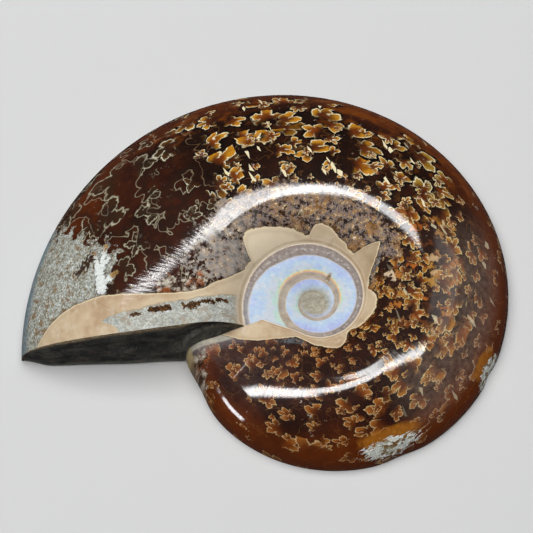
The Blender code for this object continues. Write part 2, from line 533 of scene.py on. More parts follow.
def colourRamp(value, stops):
    node = value.tree.nodes.new("ShaderNodeValToRGB")
    ramp = node.color_ramp
    while len(ramp.elements) < len(stops):
        ramp.elements.new(1.0)
    for element, (place, colour) in zip(ramp.elements, stops):
        element.position = place
        element.color = (*linear(colour), 1.0)
    plug(node.inputs[0], value)
    return Wire(value.tree, node.outputs[0])


def openMaterial(material):
    material.use_nodes = True
    return material.node_tree, material.node_tree.nodes["Principled BSDF"]


# the two values that the mesh keeps at each corner
def readSpiral(tree):
    node = tree.nodes.new("ShaderNodeUVMap")
    node.uv_map = "spiral"
    return splitVector(tree, node.outputs[0])[:2]


def readMillimetres(tree):
    node = tree.nodes.new("ShaderNodeTexCoord")
    return [value * milli for value in splitVector(tree, node.outputs["Object"])]


# fine unevenness on the named inputs of a shader
def addBump(shader, height, distance, sockets):
    tree = height.tree
    node = tree.nodes.new("ShaderNodeBump")
    node.inputs["Distance"].default_value = distance
    plug(node.inputs["Height"], height)
    for name in sockets:
        tree.links.new(node.outputs[0], shader.inputs[name])


farOff = -9.0                     # millimetres, further outside than any mark reaches


# where a place on the polished side lies, with the regions and noises that its layers share
class ShellPlace:
    def __init__(self, tree):
        turn, share = readSpiral(tree)
        x, y, z = readMillimetres(tree)
        poleX, poleY = x - pole.x * milli, y - pole.y * milli
        poleDistance = (poleX * poleX + poleY * poleY) ** 0.5
        rimHere = shell["rimRadius"] * milli * wire(tree, shell["whorlGrowth"]) ** -turn
        # how far down the outer flank a place is, so that patterns keep their size there
        crestHeight = (1.0 - turn).clamp() * shell["crestRise"] + shell["pitHeight"] + shell["dishRise"]
        drop = (crestHeight * milli - z).atLeast(0.0) * share.ramp(0.55, 0.80)
        spreadX = x + poleX * drop / poleDistance.atLeast(1.0)
        spreadY = y + poleY * drop / poleDistance.atLeast(1.0)
        angle, depth = turn * math.tau, -(share.atLeast(0.01).log(math.e)) - drop / rimHere
        self.tree = tree
        self.turn, self.share, self.angle, self.depth = turn, share, angle, depth
        self.x, self.y, self.spreadX, self.spreadY = x, y, spreadX, spreadY
        self.poleX, self.poleY, self.poleDistance, self.rimHere = poleX, poleY, poleDistance, rimHere
        # where the last whorl goes in under the cut, the mother of pearl reaches further out
        self.seamHere = ((turn - 0.87) / 0.13).clamp() ** 2.3 * 0.163 + shell["seam"]

        # regions, from 0 outside to 1 inside
        self.upperLeft = turn.ramp(0.21, 0.15)
        self.top = turn.ramp(0.14, 0.19) * turn.ramp(0.47, 0.41)
        self.right = turn.ramp(0.40, 0.46) * turn.ramp(0.72, 0.66)
        self.lower = turn.ramp(0.56, 0.64)
        self.inner = share.ramp(0.56, 0.44)
        self.inwards = share.ramp(0.96, 0.78)
        self.crumbly = self.inner * turn.ramp(0.56, 0.44)

        # noises that several layers share
        self.cloud = drift(angle, depth, 2.6, 3.0, 3.0)
        self.fineCloud = drift(angle, depth, 11.0, 3.0, 4.0)
        self.grain = drift(spreadX, spreadY, 0.75, 5.0, 91.0, 0.7)
        self.fineGrain = drift(spreadX, spreadY, 2.3, 3.0, 21.0, 0.75)
        self.broadGrain = drift(spreadX, spreadY, 0.7, 3.0, 25.0, 0.6)
        self.ochreSpots = drift(spreadX, spreadY, 0.62, 3.0, 23.0, 0.65)
        self.coarse = drift(spreadX, spreadY, 1.0, 2.0, 27.0, 0.6)
        self.edgeNoise = drift(spreadX, spreadY, 0.35, 5.0, 31.0, 0.65)
        self.crumbling = drift(spreadX, spreadY, 1.3, 3.0, 37.0, 0.7)
        self.crumb = drift(poleX, poleY, 0.8, 4.0, 2.0, 0.7)
        self.crumbTint = drift(poleX, poleY, 0.85, 4.0, 8.0, 0.8)


brownColours = {
    "dark": (40, 21, 15),
    "red": (76, 35, 18),
    "amber": (108, 46, 2),
    "shadow": (24, 14, 9),
    "glow": (126, 64, 8),
    "paleGrain": (124, 68, 30),
    "darkGrain": (22, 13, 10),
}


# brown stone under the polish, amber towards the rim
def brownStone(at):
    share, top, right, lower, inwards, cloud = at.share, at.top, at.right, at.lower, at.inwards, at.cloud
    fineCloud, grain = at.fineCloud, at.grain
    amber = (share + cloud * 0.06).ramp(0.80, 1.0) * (lower * 0.3 + 0.7)
    warm = cloud * 0.5 + fineCloud * 0.35 + 0.30 + amber * 0.6 - (right + lower * 0.6) * inwards * 0.35
    colour = blend(warm.clamp(), brownColours["dark"], brownColours["red"])
    colour = blend((amber * (0.8 + fineCloud * 0.25)).clamp(), colour, brownColours["amber"])
    colour = blend((top * inwards * (0.65 - cloud * 0.3)).clamp(), colour, brownColours["shadow"])
    glow = top * share.ramp(0.72, 0.86) * (fineCloud + cloud * 0.6).ramp(-0.15, 0.45)
    colour = blend(glow * 0.6, colour, brownColours["glow"])
    colour = blend(grain.ramp(0.15, 1.0) * 0.4, colour, brownColours["paleGrain"])
    colour = blend(grain.ramp(-0.15, -0.9) * 0.5, colour, brownColours["darkGrain"])
    return colour


suture = {
    "spacing": 0.31,              # angle from one chamber wall to the next
    "waves": 6.5,
    "waveReach": 0.75,
    "lobes": 15.0,
    "lobeReach": 0.36,
    "thread": 0.024,
}
threadColours = {
    "inside": (36, 26, 20),
    "thread": (150, 100, 48),
    "upperLeft": (176, 168, 142),
}


# the thin frilled lines where the chamber walls meet the shell
def layThreads(at, colour):
    angle, depth, upperLeft = at.angle, at.depth, at.upperLeft
    wave = drift(angle, depth, suture["waves"], 0.0, 33.0) * suture["waveReach"]
    lobes = drift(angle, depth, suture["lobes"], 0.0, 35.0).absolute() * suture["lobeReach"]
    walls = angle / suture["spacing"] + 0.2 + wave + lobes
    offWall = (walls + 0.5).fraction() - 0.5
    thread = offWall.bell(suture["thread"])
    darkInside = offWall.ramp(0.02, 0.12) * offWall.ramp(0.5, 0.3)
    colour = blend(darkInside * upperLeft * 0.5, colour, threadColours["inside"])
    threadTint = blend(upperLeft, threadColours["thread"], threadColours["upperLeft"])
    colour = blend(thread * (0.30 + 0.35 * upperLeft), colour, threadTint)
    return colour


# angles in radians on the unrolled spiral, sizes as a share of the distance to the pole
leafKinds = {
    "forward": {"seed": 1.0, "heading": 0.2, "swing": 1.7, "cell": (0.26, 0.19), "shift": (0.0, 0.0),
                "jitter": 0.35, "size": 0.082, "lobes": 4.0, "heart": 0.46, "place": 0.64, "fat": 0.90,
                "stretch": 0.3, "frill": 0.09, "tail": -0.45, "line": 0.032, "warp": 0.16, "crowding": 0.35},
    "backward": {"seed": 2.0, "heading": 3.4, "swing": 2.0, "cell": (0.26, 0.19), "shift": (0.5, 0.5),
                 "jitter": 0.35, "size": 0.078, "lobes": 4.0, "heart": 0.46, "place": 0.64, "fat": 0.90,
                 "stretch": 0.2, "frill": 0.09, "tail": -0.45, "line": 0.032, "warp": 0.16, "crowding": 0.35},
    "oak": {"seed": 4.0, "heading": -0.7, "swing": 2.4, "cell": (0.20, 0.16), "shift": (0.1, 0.7),
            "jitter": 0.3, "size": 0.072, "lobes": 4.0, "heart": 0.46, "place": 0.66, "fat": 0.88,
            "stretch": 0.8, "frill": 0.10, "tail": -0.45, "line": 0.035, "warp": 0.18, "crowding": 0.4},
    "small": {"seed": 3.0, "heading": 0.4, "swing": 4.0, "cell": (0.13, 0.11), "shift": (0.2, 0.3),
              "jitter": 0.4, "size": 0.042, "lobes": 4.0, "heart": 0.46, "place": 0.62, "fat": 0.90,
              "stretch": 0.3, "frill": 0.12, "tail": -0.5, "line": 0.045, "warp": 0.16, "crowding": 0.45},
}


# one frilled leaf of the sutures, frilled towards +x: a heart with round lobes about it
# gives what it covers, its tone from heart to lobes, its frill, its outline and the dark stone close round it
def leafShape(x, y, leaf, lobes, turned):
    x = x + 0.2
    x = x / (1.0 + x.clamp() * leaf["stretch"])
    reach = (x * x + y * y) ** 0.5
    around = y.math("ARCTAN2", x)
    nearest = (around * lobes / math.tau + turned + 0.5).floor() - turned
    off = around - nearest * math.tau / lobes
    outX = reach * off.cosine() - leaf["place"]
    outY = reach * off.sine()
    lobeSize = (math.pi / lobes).sine() * leaf["place"] * leaf["fat"]
    scallops = (outY.math("ARCTAN2", outX) * 3.0).cosine().absolute() ** 0.7
    lobe = lobeSize * (scallops * 0.22 + 0.90) - (outX * outX * 0.64 + outY * outY) ** 0.5
    gap = (leaf["heart"] - reach).math("SMOOTH_MAX", lobe, 0.16)
    tail = x.ramp(leaf["tail"], leaf["tail"] + 0.8)
    vein = drift(around * 2.0, reach * 0.7, 1.6, 2.0, leaf["seed"] + 60.0)
    tone = (reach * 1.05 + vein * 0.2).clamp()
    frill = gap.ramp(leaf["frill"], 0.0) * tone.ramp(0.3, 0.7)
    outline = (gap - leaf["line"]).bell(leaf["line"]) * tail
    return gap.ramp(-0.03, 0.05) * tail, tone, frill, outline, gap.ramp(-0.35, -0.05) * tail


# one leaf in each cell of the unrolled spiral; present is the share of cells that have one
def leafLayer(along, across, leaf, present, growing):
    pitch, rise = leaf["cell"]
    u = along / pitch + leaf["shift"][0]
    cellU = u.floor()
    v = across / rise + leaf["shift"][1] + cellU * 0.37
    cellV = v.floor()
    first, second, third = lots(cellU, cellV, leaf["seed"])
    fourth, fifth, sixth = lots(cellU, cellV, leaf["seed"] + 0.5)
    sideU = (u.fraction() - 0.5 - (first - 0.5) * leaf["jitter"]) * pitch
    sideV = (v.fraction() - 0.5 - (second - 0.5) * leaf["jitter"]) * rise
    heading = (third - 0.5) * leaf["swing"] + leaf["heading"]
    size = (fourth * 0.7 + 0.65) * growing * leaf["size"]
    x = (sideU * heading.cosine() + sideV * heading.sine()) / size
    y = (sideV * heading.cosine() - sideU * heading.sine()) / size
    own = cellU * 3.7 + cellV * 9.1
    warpedX = x + drift(x, y + own, 1.1, 1.0, leaf["seed"]) * leaf["warp"]
    warpedY = y + drift(x, y + own, 1.1, 1.0, leaf["seed"] + 30.0) * leaf["warp"]
    lobes = (fifth * 2.99).floor() + leaf["lobes"]
    crowd = drift(cellU * 0.31, cellV * 0.31, 1.0, 1.0, leaf["seed"] + 90.0)
    body, tone, frill, outline, surround = leafShape(warpedX, warpedY, leaf, lobes, sixth - 0.5)
    here = (present + crowd * leaf["crowding"] - sixth).ramp(0.0, 0.05)
    return body * here, tone, frill, outline * here, surround * here, second


leafColours = {
    "gold": (150, 90, 36),
    "topGold": (190, 130, 30),
    "olive": (148, 122, 48),
    "frill": (206, 172, 112),
    "topFrill": (244, 222, 152),
    "rightFrill": (176, 156, 130),
    "heart": (76, 38, 16),
    "warmHeart": (150, 72, 18),
    "darkHeart": (70, 34, 18),
    "outline": (224, 204, 158),
    "topOutline": (242, 236, 208),
    "paleOutline": (186, 180, 154),
    "surround": (16, 11, 9),
    "emptyLeaf": (42, 36, 26),
}


# leaves: gold with a pale frill, only outlines at the upper left
def layLeaves(at, colour):
    turn, share, angle, depth, upperLeft, top = at.turn, at.share, at.angle, at.depth, at.upperLeft, at.top
    right, lower, inner, crumbly, fineCloud = at.right, at.lower, at.inner, at.crumbly, at.fineCloud
    grain = at.grain
    # the unrolled spiral, warped so that no two chambers are alike
    along = angle + drift(angle, depth, 7.0, 2.0, 1.0) * 0.02
    across = depth + drift(angle, depth, 7.0, 2.0, 5.0) * 0.02
    along = along + drift(angle, depth, 34.0, 2.0, 9.0) * 0.009
    across = across + drift(angle, depth, 34.0, 2.0, 12.0) * 0.009

    filled = 1.0 - upperLeft * 0.92
    rich = top.atLeast(right * 0.6 * share.ramp(0.86, 0.72))
    plain = top * share.ramp(0.88, 0.97) + right * share.ramp(0.74, 0.86) * 0.7 + crumbly * 0.35
    plain = plain + lower * share.ramp(0.92, 0.98) * 0.5
    amounts = {
        "forward": 0.80 - inner * 0.2 - top * 0.30 - upperLeft * 0.1 + lower * 0.14 - plain * 0.7,
        "backward": 0.56 - inner * 0.2 - lower * 0.32 + upperLeft * 0.02 - plain * 0.7,
        "oak": top * 0.56 + right * 0.4 - plain * 0.7,
        "small": 0.26 + top * 0.20 + right * 0.30 - upperLeft * 0.3 - plain * 0.2,
    }
    olive = (turn - 0.415).bell(0.045) * share.ramp(0.62, 0.74)
    leafGold = blend(rich, leafColours["gold"], leafColours["topGold"])
    leafGold = blend(olive * 0.8, leafGold, leafColours["olive"])
    leafFrill = blend(rich, leafColours["frill"], leafColours["topFrill"])
    leafHeart = blend((fineCloud * 0.6 + 0.4).clamp(), leafColours["heart"], leafColours["warmHeart"])
    leafFrill = blend(right * share.ramp(0.76, 0.88), leafFrill, leafColours["rightFrill"])
    outlineTint = blend(upperLeft, leafColours["outline"], leafColours["paleOutline"])
    outlineTint = blend(top, outlineTint, leafColours["topOutline"])
    growing = 1.0 - top * 0.14
    for kind, leaf in leafKinds.items():
        body, tone, frill, outline, surround, lot = leafLayer(along, across, leaf, amounts[kind], growing)
        heart = blend(lot * 0.7, leafHeart, leafColours["darkHeart"])
        leafColour = blend((tone + grain * 0.22).ramp(0.36, 1.0), heart, leafGold)
        leafColour = blend(frill, leafColour, leafFrill)
        colour = blend(surround * (rich * 0.85 + 0.1), colour, leafColours["surround"])
        colour = blend(body * filled, colour, leafColour)
        colour = blend(body * upperLeft * 0.55, colour, leafColours["emptyLeaf"])
        lined = outline * (0.35 + 0.35 * rich + 0.5 * upperLeft) * (fineCloud * 0.5 + 0.9)
        colour = blend(lined.clamp(), colour, outlineTint)
    return colour


chipColours = {
    "edge": (70, 40, 20),
    "needle": (234, 222, 184),
    "chips": ((0.0, (62, 36, 20)), (0.3, (128, 66, 24)), (0.6, (176, 98, 34)), (0.9, (180, 134, 62)),
              (1.0, (218, 198, 170))),
}


# loose chips between the leaves on the right, and a few long splinters
def scatterChips(at, colour):
    turn, share, poleX, poleY, top, right = at.turn, at.share, at.poleX, at.poleY, at.top, at.right
    fineCloud, grain = at.fineCloud, at.grain
    lot, edge = chips(poleX + fineCloud * 1.6, poleY + grain * 1.2, 0.62, 3.0)
    chipColour = colourRamp(lot[0], chipColours["chips"])
    chipZone = right * share.ramp(0.80, 0.62) * turn.ramp(0.66, 0.58)
    chipColour = blend(edge.ramp(0.30, 0.06) * 0.7, chipColour, chipColours["edge"])
    chipHere = (lot[1] - 0.66).ramp(0.0, 0.03) * edge.ramp(0.03, 0.14) * chipZone
    colour = blend(chipHere * 0.9, colour, chipColour)
    splinter, splinterEdge = chips(poleX * 1.9 + poleY, poleY * 0.7 - poleX * 0.4, 0.7, 11.0)
    needle = (splinter[1] - 0.978).ramp(0.0, 0.01) * splinterEdge.ramp(0.05, 0.12)
    needle = needle * (top + right * 0.5).clamp() * share.ramp(0.97, 0.93)
    colour = blend(needle, colour, chipColours["needle"])
    return colour


crumbColours = {
    "ochre": (160, 112, 50),
    "pale": (196, 190, 182),
    "flake": (220, 210, 196),
    "crumbs": ((0.20, (22, 15, 13)), (0.42, (46, 35, 32)), (0.50, (106, 92, 86)), (0.58, (162, 148, 142)),
               (0.64, (112, 76, 36)), (0.74, (188, 152, 96)), (0.88, (236, 228, 212))),
}


# grey, ochre and white crumbs on the inner flank of the upper half, paler towards the tip
def scatterCrumbs(at, colour):
    turn, poleX, poleY, crumbly, cloud, crumb = at.turn, at.poleX, at.poleY, at.crumbly, at.cloud, at.crumb
    crumbTint = at.crumbTint
    crumbs = colourRamp(crumbTint * 0.62 + 0.54, crumbColours["crumbs"])
    clump = drift(poleX, poleY, 0.26, 3.0, 18.0, 0.6).ramp(0.10, 0.40) * turn.ramp(0.20, 0.28)
    crumbs = blend(clump * (crumb * 0.8 + 0.5).clamp() * 0.8, crumbs, crumbColours["ochre"])
    # paler towards the tip: partly real pale specks, partly painted haze beside the highlight
    crumbs = blend(turn.ramp(0.24, 0.12) * (crumb * 0.5 + 0.4).clamp(), crumbs, crumbColours["pale"])
    crumbCover = crumbly * (turn.ramp(0.03, 0.14) * 0.6 + 0.55) + crumb * 0.9 + cloud * 0.4
    colour = blend((crumbCover - 0.72).ramp(0.0, 0.25) * 0.85, colour, crumbs)
    flake = drift(poleX + poleY * 0.6, poleY, 1.1, 3.0, 14.0, 0.6)
    colour = blend((flake - 0.55).ramp(0.0, 0.12) * crumbly * 0.8, colour, crumbColours["flake"])
    return colour


# upper edge of the cream vein, millimetres from the middle
veinTop = ((-44, -17.5), (-42, -14.1), (-39, -11.3), (-35.5, -9.6), (-29, -8.4), (-22, -8.6), (-14, -8.2),
           (-9, -5.6), (-5, -2.9), (0, 1.5))
rubbleColours = {
    "orange": (168, 88, 34),
    "rubble": ((0.22, (32, 23, 19)), (0.40, (76, 58, 46)), (0.49, (120, 104, 92)), (0.56, (158, 146, 130)),
               (0.72, (206, 198, 180)), (0.92, (232, 226, 212))),
}


# orange and pale rubble above the vein
def scatterRubble(at, colour):
    x, y = at.x, at.y
    aboveVein = y - curve(x, veinTop)
    rubble = drift(x, y, 0.5, 4.0, 51.0, 0.7)
    rubbleTint = drift(x, y, 0.8, 3.0, 53.0, 0.7)
    rubbleColour = colourRamp(rubbleTint * 0.6 + 0.5, rubbleColours["rubble"])
    orange = drift(x, y, 0.42, 3.0, 55.0, 0.6).ramp(0.06, 0.30)
    rubbleColour = blend(orange * (0.55 + rubble * 0.5).clamp(), rubbleColour, rubbleColours["orange"])
    rubbleZone = aboveVein.ramp(5.6, 1.6) * x.ramp(-23.0, -18.5) * x.ramp(-9.0, -13.0)
    colour = blend((rubbleZone + rubble * 1.1 - 0.50).ramp(0.0, 0.2) * 0.85, colour, rubbleColour)
    return colour


marginColours = {
    "pale": (122, 116, 118),
    "lowerPaintedSheen": (134, 118, 116),
    "rightPaintedSheen": (160, 140, 126),
    "greyRidge": (158, 156, 150),
    "creamRidge": (222, 212, 186),
    "corner": (206, 182, 132),
}


# the lower whorl's pale edge along the cut, and painted sheen: a thin grey painted haze of reflection near
# the cut and on the right
def fadeMargins(at, colour):
    turn, share, rimHere, right, cloud, grain = at.turn, at.share, at.rimHere, at.right, at.cloud, at.grain
    crumb = at.crumb
    fromCut = (1.0 - turn) * math.tau * share * rimHere
    pale = fromCut.ramp(3.8, 1.6) * share.ramp(0.52, 0.56)
    colour = blend((pale * (crumb * 0.6 + 0.7)).clamp() * 0.85, colour, marginColours["pale"])
    # painted sheen: greyish haze of reflection on the lower whorl near the cut
    veil = (turn + cloud * 0.02).ramp(0.82, 0.95) * share.ramp(0.95, 0.80)
    colour = blend((veil * (grain * 0.6 + 0.5)).clamp() * 0.16, colour, marginColours["lowerPaintedSheen"])
    # painted sheen: pale haze of reflection on the right flank
    veil = right * (share + cloud * 0.05).ramp(0.55, 0.75) * turn.ramp(0.44, 0.52) * share.ramp(0.97, 0.88)
    colour = blend((veil * (grain * 0.5 + 0.5)).clamp() * 0.40, colour, marginColours["rightPaintedSheen"])
    ridge = (fromCut + crumb * 0.3).ramp(1.9, 1.4) * share.ramp(0.52, 0.56)
    mottle = (crumb * 0.8 + 0.5).clamp()
    ridgeTint = blend(mottle, marginColours["greyRidge"], marginColours["creamRidge"])
    colour = blend(ridge * 0.9, colour, ridgeTint)
    corner = (share + crumb * 0.006).ramp(0.95, 0.97) * (turn + crumb * 0.004).ramp(0.974, 0.984)
    colour = blend(corner * 0.8, colour, marginColours["corner"])
    return colour


# crystals near the rim: place along the spiral, share out, half sizes, and how far the ochre reaches
rimCrystals = (
    (0.722, 0.952, 0.030, 0.040, 1.35),
    (0.600, 0.995, 0.017, 0.032, 1.15),
)
crystalColours = {
    "darkOchre": (132, 66, 12),
    "ochre": (184, 122, 40),
    "edge": (120, 112, 88),
    "crystals": ((0.1, (124, 84, 36)), (0.26, (168, 166, 142)), (0.42, (220, 222, 210)),
                 (0.6, (248, 248, 242)), (0.9, (196, 204, 196))),
}


# white crystals in ochre near the rim
def growCrystals(at, colour):
    turn, share, spreadX, spreadY, crumb = at.turn, at.share, at.spreadX, at.spreadY, at.crumb
    crumbTint = at.crumbTint
    shard = drift(spreadX * 0.5 + spreadY * 0.33, spreadY * 1.3 - spreadX * 0.9, 1.0, 4.0, 5.0, 0.6)
    mottle = (crumbTint * 0.5 + 0.5).clamp()
    ochreTint = blend(mottle, crystalColours["darkOchre"], crystalColours["ochre"])
    for place, reachOut, halfTurn, halfShare, ochreReach in rimCrystals:
        spread = ((turn - place) / halfTurn) ** 2.0 + ((share - reachOut) / halfShare) ** 2.0
        near = 1.0 - spread ** 0.5 + crumb * 0.2 + shard * 0.65
        halo = (((turn - place) / halfTurn) ** 2.0 + ((share - reachOut + 0.045) / halfShare) ** 2.0) ** 0.5
        ochreHere = (halo + crumb * 0.3).ramp(ochreReach, ochreReach * 0.6)
        colour = blend(ochreHere * 0.85, colour, ochreTint)
        splitX = spreadX * 1.5 + spreadY + shard
        splitY = spreadY * 1.4 - spreadX * 0.5 + shard
        splits, splitEdge = chips(splitX, splitY, 0.75, 9.0)
        crystal = colourRamp(splits[0] * 0.8 + shard * 0.2 + 0.05, crystalColours["crystals"])
        crystal = blend(splitEdge.ramp(0.12, 0.02) * 0.5, crystal, crystalColours["edge"])
        colour = blend(near.ramp(0.0, 0.08), colour, crystal)
    return colour


speckleColours = {
    "pale": (206, 208, 200),
    "brown": (112, 98, 74),
    "darkSpot": (92, 60, 30),
    "ochreSpot": (150, 116, 70),
    "blue": (150, 164, 168),
    "speckle": ((0.10, (66, 50, 32)), (0.28, (112, 100, 76)), (0.46, (146, 147, 135)),
                (0.62, (172, 178, 172)), (0.84, (228, 230, 225))),
}


# speckled grey stone
def speckledStone(at):
    turn, fineGrain, broadGrain, coarse = at.turn, at.fineGrain, at.broadGrain, at.coarse
    ochreSpots = at.ochreSpots
    speckle = colourRamp(fineGrain * 0.55 + broadGrain * 0.2 + 0.5, speckleColours["speckle"])
    speckle = blend(coarse.ramp(0.05, 0.7) * 0.4, speckle, speckleColours["pale"])
    speckle = blend(coarse.ramp(-0.15, -0.6) * 0.6, speckle, speckleColours["brown"])
    spotTint = blend(fineGrain.ramp(-0.6, 0.6), speckleColours["darkSpot"], speckleColours["ochreSpot"])
    spots = (ochreSpots - turn.ramp(0.0, 0.05) * 0.16).ramp(0.06, 0.28)
    speckle = blend(spots * 0.8, speckle, spotTint)
    speckle = blend(ochreSpots.ramp(-0.35, -0.75) * 0.55, speckle, speckleColours["blue"])
    return speckle


blueEdgeColours = {
    "dark": (92, 116, 130),
    "pale": (142, 160, 166),
}


# the grey stone by the tip, blue along the rim
def layGreyCorner(at, colour, speckle):
    turn, share, fineGrain, broadGrain, coarse = at.turn, at.share, at.fineGrain, at.broadGrain, at.coarse
    ochreSpots, edgeNoise = at.ochreSpots, at.edgeNoise
    leftEdge = (0.076 - turn) * 60.0 + edgeNoise * 1.3
    leftEdge = leftEdge.atMost((share - 0.70) * 26.0 + edgeNoise)
    leftZone = leftEdge.ramp(-0.12, 0.12)
    colour = blend(leftZone, colour, speckle)
    edgeBlue = leftZone * (share + edgeNoise * 0.006).ramp(0.966, 0.982)
    mottle = (fineGrain * 0.5 + coarse * 0.4 + 0.45).clamp()
    blueTint = blend(mottle, blueEdgeColours["dark"], blueEdgeColours["pale"])
    edgeBlue = edgeBlue * (0.86 + broadGrain * 0.3 - ochreSpots.ramp(0.10, 0.35) * 0.45)
    colour = blend(edgeBlue.clamp(), colour, blueTint)
    return colour, leftZone


# white crystals on the grey stone: start and end of each finger, its half width and how ochre its tip is;
# millimetres from the middle, as are the dark blots beside them, each with its half width
whiteFingers = (
    (-31.1, -7.0, -31.8, -2.9, 1.05, 0.0),
    (-31.8, -3.4, -32.9, 0.7, 0.52, 1.0),
    (-31.4, -3.0, -30.5, 1.8, 0.60, 1.0),
    (-30.7, -1.6, -29.4, 0.3, 0.36, 1.2),
    (-30.6, -5.6, -28.3, -3.7, 0.62, 1.6),
)
darkBlots = (
    (-35.7, -3.0, -34.6, -1.9, 0.75),
    (-34.2, -1.4, -33.5, -0.5, 0.85),
)
fingerColours = {
    "grey": (170, 172, 162),
    "white": (226, 230, 228),
    "darkTip": (96, 68, 38),
    "ochreTip": (172, 138, 84),
    "dirt": (104, 84, 58),
    "shadow": (52, 38, 26),
    "blot": (58, 42, 32),
}


# white fingers with ochre tips on the grey stone, and the dark blots beside them
def growFingers(at, colour):
    x, y, fineGrain, broadGrain, edgeNoise = at.x, at.y, at.fineGrain, at.broadGrain, at.edgeNoise
    crumbling = at.crumbling
    finger = wire(at.tree, farOff)
    tip = wire(at.tree, 0.0)
    for startX, startY, endX, endY, width, ochre in whiteFingers:
        part, off = alongLine(x, y, startX, startY, endX, endY)
        near = width * (1.0 - part * 0.3) - off + edgeNoise * 0.4 + crumbling * 0.6
        tip = tip.atLeast(part * near.ramp(-0.3, 0.2) * ochre)
        finger = finger.atLeast(near)
    white = blend(fineGrain.ramp(-0.9, 0.2), fingerColours["grey"], fingerColours["white"])
    tipTint = blend(broadGrain.ramp(-0.4, 0.4), fingerColours["darkTip"], fingerColours["ochreTip"])
    fingerTint = blend((tip + fineGrain * 0.3).ramp(0.6, 0.95), white, tipTint)
    fingerTint = blend((crumbling - 0.45).ramp(0.0, 0.2) * 0.6, fingerTint, fingerColours["dirt"])
    colour = blend(finger.bell(0.35) * 0.6, colour, fingerColours["shadow"])
    colour = blend(finger.ramp(-0.1, 0.12), colour, fingerTint)
    for startX, startY, endX, endY, width in darkBlots:
        _, off = alongLine(x, y, startX, startY, endX, endY)
        blot = width - off + edgeNoise * 0.7 + crumbling * 1.3
        colour = blend(blot.ramp(-0.1, 0.25), colour, fingerColours["blot"])
    return colour


# arms of the cream stone round the small whorls: place along the spiral, width before and after it,
# reach past the ring, and how blunt or pointed their earlier and later sides are
creamArms = (
    (0.180, 0.032, 0.110, 0.080, 2.0, 1.0, 0.9),
    (0.327, 0.026, 0.080, 0.048, 2.0, 1.0, 0.9),
    (0.449, 0.022, 0.070, 0.127, 1.2, 1.2, 1.5),
    (0.597, 0.060, 0.090, 0.052, 2.0, 1.0, 0.9),
    (0.745, 0.045, 0.170, 0.068, 1.2, 1.0, 1.2),
    (1.000, 0.135, 0.100, 0.285, 1.0, 1.6, 1.6),
)


# how far inside the cream vein or the star a place is, in millimetres
def creamOutline(at):
    turn, share, x, y, rimHere, seamHere = at.turn, at.share, at.x, at.y, at.rimHere, at.seamHere
    edgeNoise, crumbling = at.edgeNoise, at.crumbling
    ring = seamHere * 1.11
    for place, before, after, reach, blunt, rise, fall in creamArms:
        past = turn - place
        rising = (1.0 - (past.atMost(0.0) / -before).clamp() ** blunt) ** rise
        ring = ring + reach * rising * (1.0 - past.atLeast(0.0) / after).clamp() ** fall
    starEdge = (ring - share) * rimHere + edgeNoise * 0.45 + crumbling * 0.12
    veinEdge = curve(x, veinTop) - y + edgeNoise * 0.22 + crumbling * 0.06
    veinEdge = veinEdge.atMost((0.2 - turn) * 60.0)
    return starEdge.atLeast(veinEdge)


# start and end of the crack in the vein, millimetres from the middle
veinCrack = (-32.1, -9.5, -26.6, -13.2)
creamColours = {
    "cream": (204, 184, 154),
    "shade": (180, 152, 120),
    "pale": (218, 208, 192),
    "rose": (166, 130, 102),
    # painted light, for the upper-left arm
    "light": (232, 218, 190),
    # painted shade
    "hollow": (128, 108, 76),
    # painted shade along a furrow
    "grooveShade": (112, 86, 58),
    # painted light, for the upper-left arm
    "glow": (234, 218, 190),
    "crack": (128, 98, 72),
    "border": (168, 142, 108),
    "rim": (224, 208, 176),
    "edge": (188, 158, 104),
    "dirt": (176, 158, 140),
    "darkScree": (44, 42, 44),
    "paleScree": (150, 158, 162),
    "outline": (60, 44, 32),
}


